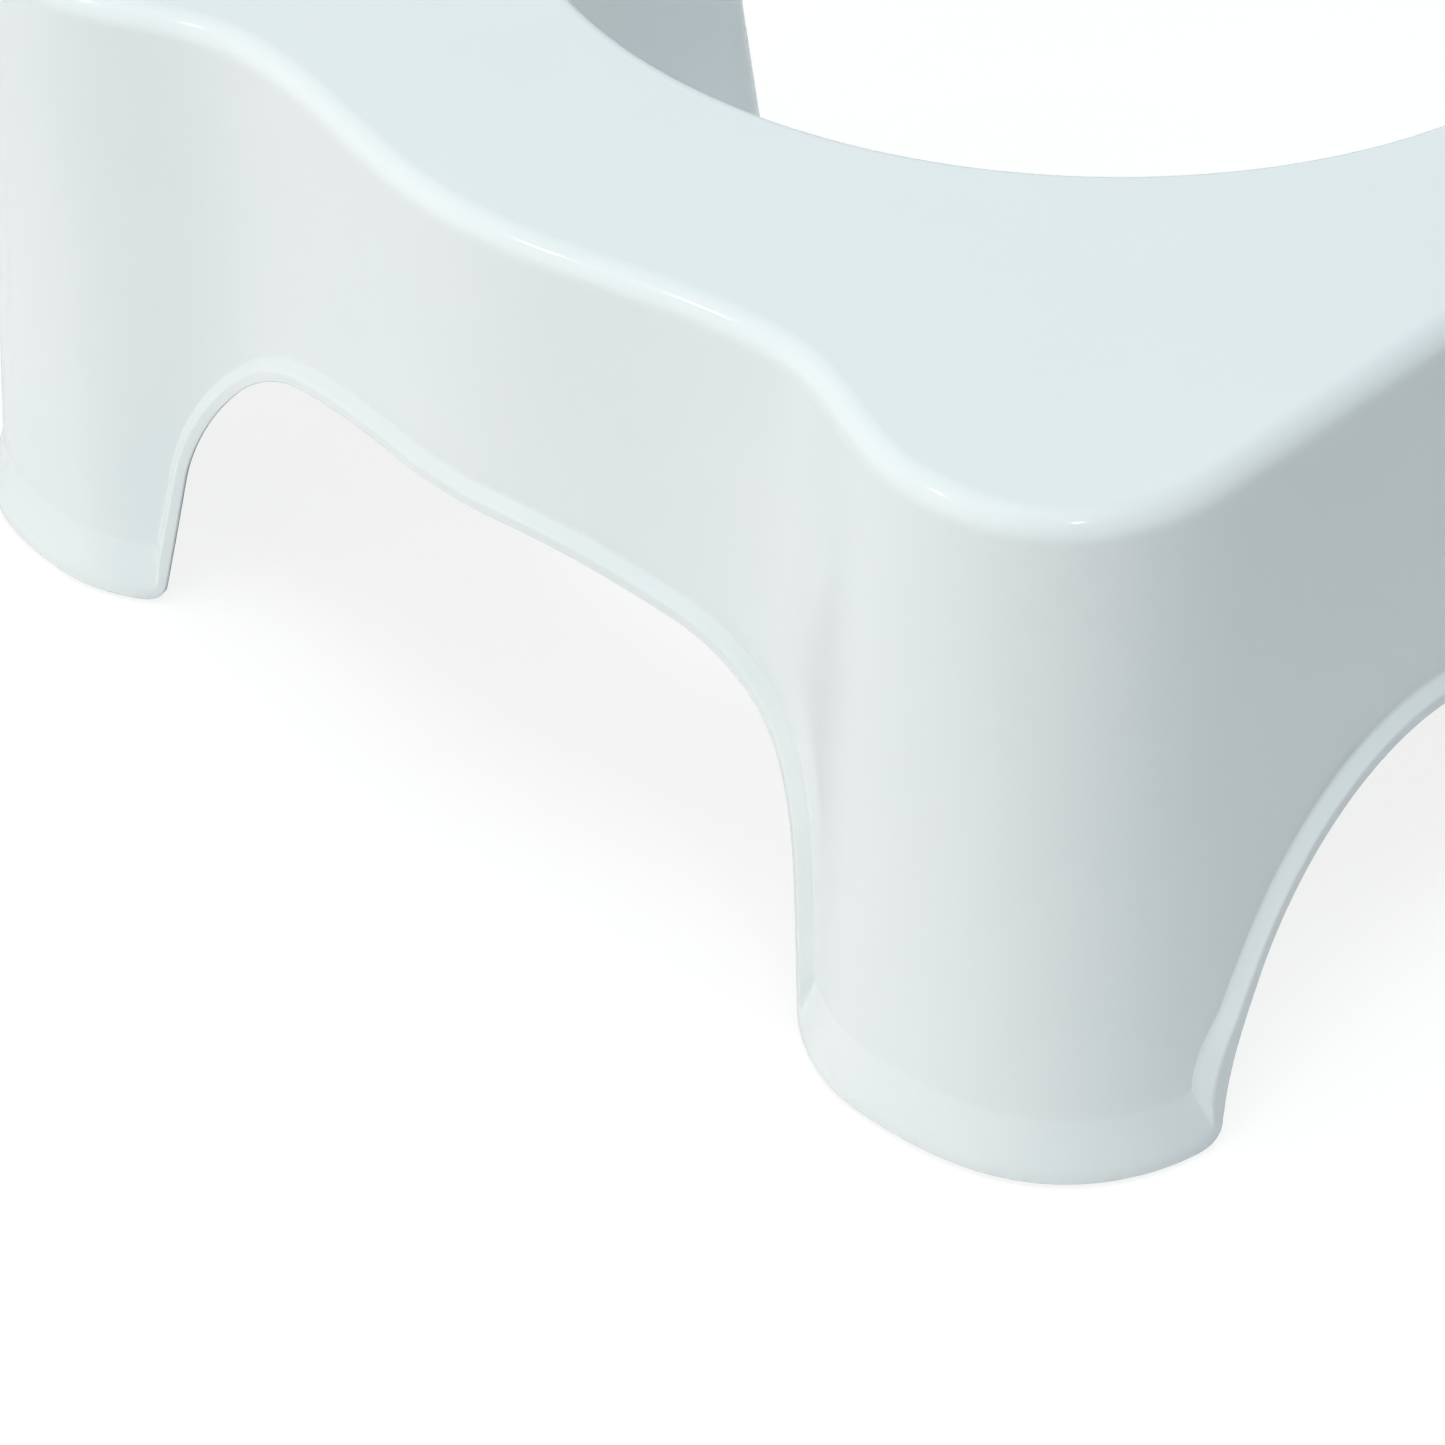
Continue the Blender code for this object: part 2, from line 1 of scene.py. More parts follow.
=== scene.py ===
"""The looks of a white plastic toilet footstool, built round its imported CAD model.

Metres, +Z up, in the CAD model's own frame. The moulded shell is lofted again from the same
sizes with many more columns and rows, so its curves and turned-out lip render smooth. Each
foot pad becomes a rounded rubber strip.
"""
import json
import math

import bmesh
import bpy
import numpy as np
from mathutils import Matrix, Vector

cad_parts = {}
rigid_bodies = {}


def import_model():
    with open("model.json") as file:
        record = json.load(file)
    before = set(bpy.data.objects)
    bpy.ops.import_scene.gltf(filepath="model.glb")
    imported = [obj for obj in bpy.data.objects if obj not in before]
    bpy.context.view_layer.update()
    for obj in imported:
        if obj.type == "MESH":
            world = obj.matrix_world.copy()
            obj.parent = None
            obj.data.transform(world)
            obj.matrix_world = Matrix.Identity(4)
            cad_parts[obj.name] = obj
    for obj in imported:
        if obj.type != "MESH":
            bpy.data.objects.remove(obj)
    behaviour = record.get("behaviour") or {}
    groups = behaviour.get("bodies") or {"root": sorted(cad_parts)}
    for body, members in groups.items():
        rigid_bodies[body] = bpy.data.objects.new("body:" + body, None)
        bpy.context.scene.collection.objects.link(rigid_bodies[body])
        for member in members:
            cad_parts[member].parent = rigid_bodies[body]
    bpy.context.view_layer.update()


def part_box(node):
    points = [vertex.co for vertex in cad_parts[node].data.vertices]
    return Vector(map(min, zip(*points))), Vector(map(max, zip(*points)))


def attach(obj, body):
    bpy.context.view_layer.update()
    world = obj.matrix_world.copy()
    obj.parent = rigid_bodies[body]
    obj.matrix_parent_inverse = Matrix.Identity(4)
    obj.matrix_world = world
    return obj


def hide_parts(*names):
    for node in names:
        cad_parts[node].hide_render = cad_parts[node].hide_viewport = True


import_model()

# The deck: its height over the floor, its width, and where its front and rear edges lie
HEIGHT = 0.170
DECK_WIDTH = 0.367
POD_FRONT_Y = -0.1190
DECK_REAR_Y = 0.1022

# Wall thickness, and how far each wall leans out between the deck and the floor
WALL = 0.003
LEAN_MIDDLE = 0.0005
LEAN_FRONT = 0.0075
LEAN_SIDE = 0.0165
LEAN_REAR = 0.0245
LEAN_CUTOUT = 0.020

# The lip: an upright edge under a slope, which is short round the arches and tall round the feet
ARCH_LIP = 0.0033
ARCH_LIP_RISE = 0.0052
ARCH_LIP_EDGE = 0.0029
FOOT_LIP = 0.0032
FOOT_LIP_RISE = 0.0156
FOOT_LIP_EDGE = 0.003
FOOT_INSIDE_RISE = 0.010
SOLE_INSIDE = 0.0036
LIP_CHANGE_LENGTH = 0.012
LIP_FILLET = 0.0008
ARCH_LIP_ROUNDING = 0.0005
FOOT_LIP_ROUNDING = 0.0012
FOOT_CORNER = 0.006

# Deck outline: the front edge waves from the middle back to a valley and out to each pod
VALLEY_X = 0.0842
VALLEY_DEPTH = 0.0149
POD_X = 0.1387
MIDDLE_SETBACK = 0.0022
FRONT_CORNER_DEPTH = 0.050
FRONT_CORNER_POWER = 2.3
ARM_WIDTH = 0.0471
REAR_CORNER_RADIUS = 0.030
ARM_CORNER_RADIUS = 0.008
CUTOUT_DEPTH = 0.145
DECK_FILLET = 0.006
CUTOUT_FILLET = 0.004

# Front arch: corners of its edge as x and height, with the radii that round them
FRONT_ARCH_CROWN = (0.0283, 0.0945)
FRONT_ARCH_SHOULDER = (0.0989, 0.0775)
FRONT_ARCH_FOOT_X = 0.1142
FRONT_ARCH_RADII = (0.120, 0.0603)

# Side arches, and the arch in the cut-out wall, measured along that wall from its middle
SIDE_ARCH_MIDDLE_Y = -0.0075
SIDE_ARCH_HALF_WIDTH = 0.0706
SIDE_ARCH_HEIGHT = 0.0774
CUTOUT_ARCH_HALF_WIDTH = 0.100
CUTOUT_ARCH_HEIGHT = 0.094
CUTOUT_ARCH_RADIUS = 0.079

# Ribs under the deck, sunk a little into the deck and the walls that they join
RIB_THICKNESS = 0.002
RIB_DEPTH = 0.012
RIB_TOP_DEPTH = 0.0022
RIB_END_DEPTH = 0.0020
MIDDLE_RIB_SPACING = 0.034
MIDDLE_RIBS_EACH_SIDE = 3
FRONT_RIB_Y = -0.078
ARM_RIB_YS = (-0.010, 0.030, 0.070)

# Foot pads: the strip's width and rounding, and the groove's play round it
PAD_PROUD = 0.001
PAD_WIDTH = 0.0042
PAD_MIDDLE_OFFSET = -0.0006
PAD_END_DISTANCE = 0.013
REAR_PAD_LENGTH = 0.062
PAD_ROUNDING = 0.0007
PAD_ROUNDING_STEPS = 3
FIT_GAP = 0.0003

# Mesh density
OUTLINE_STEP = 0.0002
FRONT_ARCH_COLUMNS = 72
FRONT_FOOT_COLUMNS = 60
SIDE_ARCH_COLUMNS = 84
REAR_FOOT_COLUMNS = 130
CUTOUT_ARCH_COLUMNS = 84
CORNER_COLUMNS = 8
WALL_ROWS = 12
DECK_EDGE_ROWS = 8
UNDERSIDE_EDGE_ROWS = 4
LIP_BEND_ROWS = 5
BEND_REACH = 0.03
CORNER_GAP = 0.007
CORNER_FAN = 0.032
DECK_MARGIN = 0.024
PAD_SIDE_POINTS = 60
PAD_END_POINTS = 12
SHARP_ANGLE = math.radians(40)
MERGE_DISTANCE = 0.00005

# Camera, placed by its view of a point in front of the right pod, level with the deck
CAMERA_AZIMUTH = math.radians(44.43)
CAMERA_ELEVATION = math.radians(39.86)
CAMERA_TARGET = Vector((0.1648, -0.1987, 0.170))
CAMERA_DISTANCE = 0.8062
CAMERA_LENS_MM = 108.65
CAMERA_SENSOR_MM = 36.0

# Noises of the materials: features per metre, detail, and the band of the noise that is used
TINT_NOISE = (9.0, 3.0, 0.35, 0.65)
SCUFF_NOISE = (260.0, 5.0, 0.55, 0.75)
POLISH_NOISE = (45.0, 4.0, 0.3, 0.7)
DUST_NOISE = (160.0, 5.0, 0.45, 0.7)
RUBBER_NOISE = (300.0, 3.0, 0.3, 0.7)

# Grain: features per metre and detail of its noise, then the bump's strength and depth
SHELL_GRAIN = (420.0, 3.0)
SHELL_BUMP = (0.12, 0.00012)
RUBBER_GRAIN = (2600.0, 4.0)
RUBBER_BUMP = (0.5, 0.0001)

# The shell's tints, its polish, and the scuffs near the floor, which also roughen it
TINTS = ((0.805, 0.872, 0.886, 1), (0.832, 0.888, 0.896, 1))
SHELL_ROUGHNESS = (0.10, 0.16)
SHELL_IOR = 1.49
SCUFF_HEIGHTS = (0.001, 0.010)
SCUFF_COLOUR = (0.72, 0.76, 0.76, 1)
MOST_SCUFFED = 0.4
SCUFF_ROUGHNESS = 0.5

# The pads' rubber and the dust on it
RUBBER_COLOUR = (0.37, 0.39, 0.40, 1)
RUBBER_ROUGHNESS = (0.66, 0.86)
RUBBER_IOR = 1.45
DUST_COLOUR = (0.50, 0.51, 0.50, 1)
MOST_DUSTY = 0.7

# The colour sockets of Blender's mix node, whose names repeat
MIX_SHARE, MIX_FIRST, MIX_SECOND, MIX_RESULT = 0, 6, 7, 2

# The room: the floor's size and look, and the sky
FLOOR_HALF_SIZE = 4.0
FLOOR_COLOUR = (0.96, 0.97, 0.98, 1)
FLOOR_SHOWN_COLOUR = (0.20, 0.20, 0.20, 1)
FLOOR_GLOW = 0.84
SKY_COLOUR = (0.05, 0.055, 0.06, 1)

# Lamps: name, direction from the object, distance, width, power in watts and colour. The wide
# panels aren't mirrored in the gloss, which shows the white room and the small glint lamps.
WIDEST_MIRRORED_LAMP = 1.0
LAMPS = (
    ("top_panel", (0.10, -0.06, 0.99), 3.0, 2.2, 60.5, (0.915, 0.985, 1.0)),
    ("front_panel", (0.0, -0.93, 0.36), 3.0, 2.6, 31.0, (1.0, 0.93, 0.88)),
    ("left_panel", (-0.85, -0.50, 0.18), 3.0, 2.4, 28.5, (1.0, 0.92, 0.84)),
    ("back_panel", (-0.50, 0.82, 0.28), 3.0, 2.4, 10.0, (1.0, 0.97, 0.94)),
    ("pod_glint", (0.47, -0.25, 0.85), 2.5, 0.17, 2.4, (1.0, 1.0, 1.0)),
    ("edge_glint", (-0.36, -0.55, 0.75), 2.5, 0.14, 1.5, (1.0, 1.0, 1.0)),
)

DECK_HALF_WIDTH = DECK_WIDTH / 2
CUTOUT_HALF_WIDTH = DECK_HALF_WIDTH - ARM_WIDTH


def ease(share):
    """A cosine S-curve from 0 to 1."""
    return 0.5 - 0.5 * np.cos(np.pi * np.clip(share, 0, 1))


def steps(start, end):
    """Even values from start to end, about one outline step apart."""
    return np.linspace(start, end, max(int(abs(end - start) / OUTLINE_STEP), 2))


def arc_angles(radii, start, end):
    """Even angles in radians between two in degrees, as many as a quarter has outline steps."""
    return np.radians(np.linspace(start, end, int(max(radii) * math.pi / 2 / OUTLINE_STEP)))


def arc(centre, radii, start, end):
    """An elliptic arc between two angles in degrees, as columns of x and y."""
    angle = arc_angles(radii, start, end)
    x = centre[0] + radii[0] * np.cos(angle)
    y = centre[1] + radii[1] * np.sin(angle)
    return np.stack([x, y], axis=1)


def square_arc(centre, radii, power):
    """A quarter from the front round to the right side, squarer than an ellipse above power 2."""
    angle = arc_angles(radii, 0, 90)
    x = centre[0] + radii[0] * np.abs(np.sin(angle)) ** (2 / power)
    y = centre[1] - radii[1] * np.abs(np.cos(angle)) ** (2 / power)
    return np.stack([x, y], axis=1)


def line(start, end):
    """A straight run between two points."""
    count = max(int(math.dist(start, end) / OUTLINE_STEP), 2)
    return np.linspace(start, end, count)


def joined(pieces):
    """One polyline from pieces that each start where the last one ended."""
    return np.concatenate([pieces[0]] + [piece[1:] for piece in pieces[1:]])


def lengths_along(points):
    """The distance travelled along a polyline at each of its points."""
    return np.concatenate([[0], np.cumsum(np.linalg.norm(np.diff(points, axis=0), axis=1))])


def outline_stretches():
    """The deck's sharp outline for x >= 0 by stretch, from the front's middle to the cut-out's."""
    middle_y = POD_FRONT_Y + MIDDLE_SETBACK
    valley_y = POD_FRONT_Y + VALLEY_DEPTH
    to_valley = steps(0, VALLEY_X)
    to_pod = steps(VALLEY_X, POD_X)
    first_wave = middle_y + (valley_y - middle_y) * ease(to_valley / VALLEY_X)
    second_wave = valley_y - VALLEY_DEPTH * ease((to_pod - VALLEY_X) / (POD_X - VALLEY_X))
    side_start = POD_FRONT_Y + FRONT_CORNER_DEPTH
    side_end = DECK_REAR_Y - REAR_CORNER_RADIUS
    rear_start = DECK_HALF_WIDTH - REAR_CORNER_RADIUS
    rear_end = CUTOUT_HALF_WIDTH + ARM_CORNER_RADIUS
    arm_y = DECK_REAR_Y - ARM_CORNER_RADIUS
    front_radii = (DECK_HALF_WIDTH - POD_X, FRONT_CORNER_DEPTH)
    rear_radii = (REAR_CORNER_RADIUS, REAR_CORNER_RADIUS)
    arm_radii = (ARM_CORNER_RADIUS, ARM_CORNER_RADIUS)
    cutout_radii = (CUTOUT_HALF_WIDTH, CUTOUT_DEPTH - ARM_CORNER_RADIUS)
    return {
        "valley": np.stack([to_valley, first_wave], axis=1),
        "pod": np.stack([to_pod, second_wave], axis=1),
        "front_corner": square_arc((POD_X, side_start), front_radii, FRONT_CORNER_POWER),
        "side": line((DECK_HALF_WIDTH, side_start), (DECK_HALF_WIDTH, side_end)),
        "rear_corner": arc((rear_start, side_end), rear_radii, 0, 90),
        "rear": line((rear_start, DECK_REAR_Y), (rear_end, DECK_REAR_Y)),
        "arm_corner": arc((rear_end, arm_y), arm_radii, 90, 180),
        "cutout": arc((0, arm_y), cutout_radii, 0, -90),
    }


class Outline:
    """The deck's outline with its tangents, and the leaning wall that hangs from it."""

    def __init__(self):
        stretches = outline_stretches()
        self.points = joined(list(stretches.values()))
        self.lengths = lengths_along(self.points)
        counts = np.cumsum([len(piece) - 1 for piece in stretches.values()])
        self.end = {name: float(self.lengths[count]) for name, count in zip(stretches, counts)}
        self.total = float(self.lengths[-1])
        tangents = np.gradient(self.points, self.lengths, axis=0)
        tangents[0] = (1, 0)
        tangents[-1] = (-1, 0)
        self.tangents = tangents / np.linalg.norm(tangents, axis=1)[:, None]
        turn = np.unwrap(np.arctan2(self.tangents[:, 1], self.tangents[:, 0]))
        self.bend = np.abs(np.gradient(turn, self.lengths))

    def at_x(self, x):
        """The outline length at which the front edge reaches an x."""
        front = self.lengths <= self.end["pod"]
        return float(np.interp(x, self.points[front, 0], self.lengths[front]))

    def at_y(self, y):
        """The outline length at which the outer side reaches a y."""
        side = (self.lengths >= self.end["pod"]) & (self.lengths <= self.end["rear_corner"])
        return float(np.interp(y, self.points[side, 1], self.lengths[side]))

    def spread(self, start, end, count):
        """Outline lengths from start to end, closer together where the outline bends."""
        fine = steps(start, end)
        weight = 1 + BEND_REACH * np.interp(fine, self.lengths, self.bend)
        gained = np.concatenate([[0], np.cumsum((weight[1:] + weight[:-1]) / 2)])
        return np.interp(np.linspace(0, gained[-1], count + 1), gained, fine)

    def lean(self, length):
        """How far the wall leans out at the floor, easing round each corner as the wall turns."""
        length = np.asarray(length, float)
        valley, pod = self.end["valley"], self.end["pod"]
        front = LEAN_MIDDLE + (LEAN_FRONT - LEAN_MIDDLE) * ease((length - valley) / (pod - valley))
        facing_x = np.abs(np.interp(length, self.lengths, self.tangents[:, 1]))
        facing_y = np.sqrt(np.clip(1 - facing_x ** 2, 0, 1))
        sideways = np.where(length < self.end["rear"], LEAN_SIDE, LEAN_CUTOUT)
        along = np.where(length < self.end["side"], front, LEAN_REAR)
        corner = np.hypot(sideways * facing_x, along * facing_y)
        past_pod = np.where(length > self.end["arm_corner"], LEAN_CUTOUT, corner)
        return np.where(length < pod, front, past_pod)

    def fillet(self, length):
        """The deck edge's radius, which tightens round the arm's inner corner."""
        span = (self.end["rear"], self.end["arm_corner"])
        return np.interp(length, span, (DECK_FILLET, CUTOUT_FILLET))

    def surface(self, length, z, offset):
        """A point on the leaning wall at a height, moved out along the wall's normal."""
        x = np.interp(length, self.lengths, self.points[:, 0])
        y = np.interp(length, self.lengths, self.points[:, 1])
        tangent_x = np.interp(length, self.lengths, self.tangents[:, 0])
        tangent_y = np.interp(length, self.lengths, self.tangents[:, 1])
        out = offset + self.lean(length) * (HEIGHT - z) / HEIGHT
        return np.stack([x + tangent_y * out, y - tangent_x * out, z + 0 * out], axis=-1)


OUTLINE = Outline()

# Where each foot starts and ends along the outline
FRONT_FOOT = (
    OUTLINE.at_x(FRONT_ARCH_FOOT_X),
    OUTLINE.at_y(SIDE_ARCH_MIDDLE_Y - SIDE_ARCH_HALF_WIDTH),
)
REAR_FOOT = (
    OUTLINE.at_y(SIDE_ARCH_MIDDLE_Y + SIDE_ARCH_HALF_WIDTH),
    OUTLINE.total - CUTOUT_ARCH_HALF_WIDTH,
)


def unit(vector):
    return vector / np.linalg.norm(vector)


def rounded(corners, radii):
    """A polyline through corners, with each inner corner rounded to its radius."""
    corners = [np.array(corner) for corner in corners]
    pieces = [corners[0][None]]
    for before, corner, after, radius in zip(corners, corners[1:], corners[2:], radii):
        back, on = unit(before - corner), unit(after - corner)
        half = math.acos(float(back @ on)) / 2
        centre = corner + unit(back + on) * radius / math.sin(half)
        reach = radius / math.tan(half)
        first = math.atan2(*(corner + back * reach - centre)[::-1])
        last = math.atan2(*(corner + on * reach - centre)[::-1])
        pieces.append(arc(centre, (radius, radius), math.degrees(first), math.degrees(last)))
    pieces.append(corners[-1][None])
    return np.concatenate(pieces)


def sampled(points, along, wanted):
    """The points of a polyline at the wanted lengths along it."""
    return np.stack([np.interp(wanted, along, points[:, axis]) for axis in (0, 1)], axis=1)


def resampled(points, count):
    """The same polyline with count equal steps."""
    along = lengths_along(points)
    return sampled(points, along, np.linspace(0, along[-1], count + 1))


def bottom_stretches():
    """The shell's bottom edge as (outline length, height): arch, foot, arch, foot, arch."""
    middle, foot_end = (0.0, FRONT_ARCH_CROWN[1]), (FRONT_ARCH_FOOT_X, PAD_PROUD)
    corners = [middle, FRONT_ARCH_CROWN, FRONT_ARCH_SHOULDER, foot_end]
    front_arch = rounded(corners, FRONT_ARCH_RADII)
    front_arch[:, 0] = [OUTLINE.at_x(x) for x in front_arch[:, 0]]
    side_radii = (SIDE_ARCH_HALF_WIDTH, SIDE_ARCH_HEIGHT - PAD_PROUD)
    side = arc((SIDE_ARCH_MIDDLE_Y, PAD_PROUD), side_radii, 180, 0)
    side[:, 0] = [OUTLINE.at_y(y) for y in side[:, 0]]
    width, height = CUTOUT_ARCH_HALF_WIDTH, CUTOUT_ARCH_HEIGHT
    corners = [(0.0, height), (width, height), (width, PAD_PROUD)]
    cutout = rounded(corners, (CUTOUT_ARCH_RADIUS,))[::-1]
    cutout[:, 0] = OUTLINE.total - cutout[:, 0]

    def foot(span, count):
        lengths = OUTLINE.spread(span[0], span[1], count)
        return np.stack([lengths, np.full(count + 1, PAD_PROUD)], axis=1)

    return [
        resampled(front_arch, FRONT_ARCH_COLUMNS),
        foot(FRONT_FOOT, FRONT_FOOT_COLUMNS),
        resampled(side, SIDE_ARCH_COLUMNS),
        foot(REAR_FOOT, REAR_FOOT_COLUMNS),
        resampled(cutout, CUTOUT_ARCH_COLUMNS),
    ]


def with_corner_columns(stretches):
    """One polyline with even steps beside each foot's ends, and the indexes of those ends."""
    pieces, corners = [], []
    count = 0
    gap = CORNER_GAP - FOOT_CORNER
    for index, stretch in enumerate(stretches):
        along = lengths_along(stretch)
        corner = np.linspace(0, FOOT_CORNER, CORNER_COLUMNS + 1)
        first = corner if index > 0 else along[:1]
        last = along[-1] - corner[::-1] if index < len(stretches) - 1 else along[-1:]
        inner = along[(along > first[-1] + gap) & (along < last[0] - gap)]
        wanted = np.concatenate([first, inner, last])
        pieces.append(sampled(stretch, along, wanted))
        count += len(wanted) - 1
        corners.append(count)
    return joined(pieces), corners[:-1]


def column_plan():
    """Each column's bottom point, crease point, share of the foot's lip, and deck length."""
    plain, corners = with_corner_columns(bottom_stretches())
    along = lengths_along(plain)
    run = np.diff(plain, axis=0) / np.diff(along)[:, None]
    normal = np.stack([-run[:, 1], run[:, 0]], axis=1)
    inward = (normal[:-1] + normal[1:]) / (1 + np.sum(normal[:-1] * normal[1:], axis=1))[:, None]
    inward = np.concatenate([normal[:1], inward, normal[-1:]])
    feet = zip(corners[::2], corners[1::2])
    depths = [np.minimum(along - along[start], along[end] - along) for start, end in feet]
    onto_foot = np.max(depths, axis=0)
    crease = plain + inward * np.where(onto_foot < 0, ARCH_LIP_RISE, FOOT_LIP_RISE)[:, None]
    bottom = plain.copy()
    for order, corner in enumerate(corners):
        towards_arch, towards_foot = -run[corner - 1], run[corner]
        if order % 2:
            towards_arch, towards_foot = towards_foot, towards_arch
        sine = abs(float(towards_arch[0] * towards_foot[1] - towards_arch[1] * towards_foot[0]))
        reach = (towards_foot * ARCH_LIP_RISE + towards_arch * FOOT_LIP_RISE) / sine
        for index in np.flatnonzero(np.abs(along - along[corner]) < CORNER_FAN):
            distance = abs(along[index] - along[corner])
            side = towards_foot if onto_foot[index] > 0 else towards_arch
            crease[index] += side * float(reach @ side) * (1 - distance / CORNER_FAN)
            if distance <= FOOT_CORNER:
                t = (onto_foot[index] / FOOT_CORNER + 1) / 2
                round_off = towards_arch * (1 - t) ** 2 + towards_foot * t ** 2
                bottom[index] = plain[corner] + round_off * FOOT_CORNER
        crease[corner] = plain[corner] + reach
    half_change = LIP_CHANGE_LENGTH / 2
    foot_share = ease((onto_foot + half_change) / LIP_CHANGE_LENGTH)
    known = [0.0, *along[corners], along[-1]]
    deck_lengths = [0.0]
    for start, end in (FRONT_FOOT, REAR_FOOT):
        deck_lengths += [start + DECK_MARGIN, end - DECK_MARGIN]
    deck = np.interp(along, known, deck_lengths + [OUTLINE.total])
    return bottom, crease, foot_share, deck


def bend(before, corner, after, reach):
    """Points that round a corner of the lip's section."""
    start = corner + unit(before - corner) * reach
    end = corner + unit(after - corner) * reach
    shares = np.linspace(0, 1, LIP_BEND_ROWS + 1)
    return [(1 - t) ** 2 * start + 2 * t * (1 - t) * corner + t ** 2 * end for t in shares]


def lip_section(foot_share):
    """The crease's rise over the bottom edge, and the lip from outside in, as (rise, out)."""
    slope = unit(np.array([ARCH_LIP, ARCH_LIP_RISE - ARCH_LIP_EDGE]))
    behind = ARCH_LIP_RISE * slope[0] - WALL
    arch = np.array([
        (ARCH_LIP_RISE, 0.0),
        (ARCH_LIP_EDGE, ARCH_LIP),
        (0.0, ARCH_LIP),
        (0.0, behind / slope[1]),
        ((behind + WALL * slope[1]) / slope[0], -WALL),
    ])
    foot = np.array([
        (FOOT_LIP_RISE, 0.0),
        (FOOT_LIP_EDGE, FOOT_LIP),
        (0.0, FOOT_LIP),
        (0.0, -SOLE_INSIDE),
        (FOOT_INSIDE_RISE, -WALL),
    ])
    crease, tip, rim, heel, inside = arch + (foot - arch) * foot_share
    wall = crease + np.array([HEIGHT, 0.0])
    rounding = ARCH_LIP_ROUNDING + (FOOT_LIP_ROUNDING - ARCH_LIP_ROUNDING) * foot_share
    points = bend(wall, crease, tip, LIP_FILLET)
    points += bend(crease, tip, rim, rounding)
    points += bend(tip, rim, heel, rounding)
    return crease[0], points + [heel, inside]


def shell_column(bottom, crease, foot_share, deck_length):
    """One closed section of the shell: deck edge, wall, lip, inner wall and deck underside."""
    fillet = OUTLINE.fillet(deck_length)
    top = np.array([deck_length, HEIGHT - fillet])
    upward = unit(top - crease)
    crease_rise, section = lip_section(foot_share)
    lip = []
    for rise, out in section:
        on_lip = (crease - bottom) * min(rise / crease_rise, 1)
        on_wall = upward * max(rise - crease_rise, 0)
        lip.append((bottom + on_lip + on_wall, out))

    def edge(radius, rows):
        points = []
        for angle in np.linspace(0, math.pi / 2, rows + 1):
            out = -fillet + radius * math.sin(angle)
            z = HEIGHT - fillet + radius * math.cos(angle)
            points.append(OUTLINE.surface(deck_length, z, out))
        return points

    def wall(low, offset):
        shares = np.linspace(0, 1, WALL_ROWS + 1)[1:-1]
        return [OUTLINE.surface(*(top + (low - top) * share), offset) for share in shares]

    outside = edge(fillet, DECK_EDGE_ROWS) + wall(lip[0][0], 0.0)
    turned = [OUTLINE.surface(*place, out) for place, out in lip]
    inside = edge(fillet - WALL, UNDERSIDE_EDGE_ROWS) + wall(lip[-1][0], -WALL)
    return outside + turned + inside[::-1]


def mesh_from(build, name):
    """A mesh filled by a function that works on a bmesh."""
    work = bmesh.new()
    build(work)
    mesh = bpy.data.meshes.new(name)
    work.to_mesh(mesh)
    work.free()
    return mesh


def add_object(name, data, collection):
    """A new object that holds a mesh, curve, lamp or camera."""
    item = bpy.data.objects.new(name, data)
    collection.objects.link(item)
    return item


def evaluated_mesh(item):
    """A new mesh of an object as its modifiers or curve settings shape it."""
    bpy.context.view_layer.update()
    shaped = item.evaluated_get(bpy.context.evaluated_depsgraph_get())
    return bpy.data.meshes.new_from_object(shaped)


def build_shell(work):
    """The right half of the shell, open where it meets the other half at the middle plane."""
    columns = []
    for plan in zip(*column_plan()):
        columns.append([work.verts.new(tuple(position)) for position in shell_column(*plan)])
    for end in (columns[0], columns[-1]):
        for vertex in end:
            vertex.co.x = 0
    for column, following in zip(columns, columns[1:]):
        for row in range(len(column) - 1):
            work.faces.new((column[row], column[row + 1], following[row + 1], following[row]))
    work.faces.new([column[0] for column in columns])
    work.faces.new([column[-1] for column in reversed(columns)])


def box_mesh(name, low, high):
    """A box between two corners."""
    def build(work):
        bmesh.ops.create_cube(work, size=1)
        for vertex in work.verts:
            vertex.co = [a + (b - a) * (share + 0.5) for a, b, share in zip(low, high, vertex.co)]
    return mesh_from(build, name)


def inside_wall(first, last, axis, value):
    """Where a rib ends: the other coordinate of the wall between two stretches, sunk into it."""
    start = OUTLINE.end[first] if first else 0.0
    stretch = (OUTLINE.lengths >= start) & (OUTLINE.lengths <= OUTLINE.end[last])
    points = OUTLINE.surface(OUTLINE.lengths[stretch], HEIGHT, -RIB_END_DEPTH)
    order = np.argsort(points[:, axis])
    return float(np.interp(value, points[order, axis], points[order, 1 - axis]))


def rib_spans():
    """Each rib as its low and high x and y."""
    half = RIB_THICKNESS / 2
    spans = []
    for step in range(-MIDDLE_RIBS_EACH_SIDE, MIDDLE_RIBS_EACH_SIDE + 1):
        x = step * MIDDLE_RIB_SPACING
        front = inside_wall(None, "front_corner", 0, abs(x))
        back = inside_wall("arm_corner", "cutout", 0, abs(x))
        spans.append((x - half, front, x + half, back))
    reach = inside_wall("pod", "rear_corner", 1, FRONT_RIB_Y)
    spans.append((-reach, FRONT_RIB_Y - half, reach, FRONT_RIB_Y + half))
    arm_middle = DECK_HALF_WIDTH - ARM_WIDTH / 2
    front = inside_wall(None, "front_corner", 0, arm_middle)
    back = inside_wall("side", "rear", 0, arm_middle)
    for x in (-arm_middle, arm_middle):
        spans.append((x - half, front, x + half, back))
    for y in ARM_RIB_YS:
        inner = inside_wall("arm_corner", "cutout", 1, y)
        outer = inside_wall("pod", "rear_corner", 1, y)
        spans.append((inner, y - half, outer, y + half))
        spans.append((-outer, y - half, -inner, y + half))
    return spans


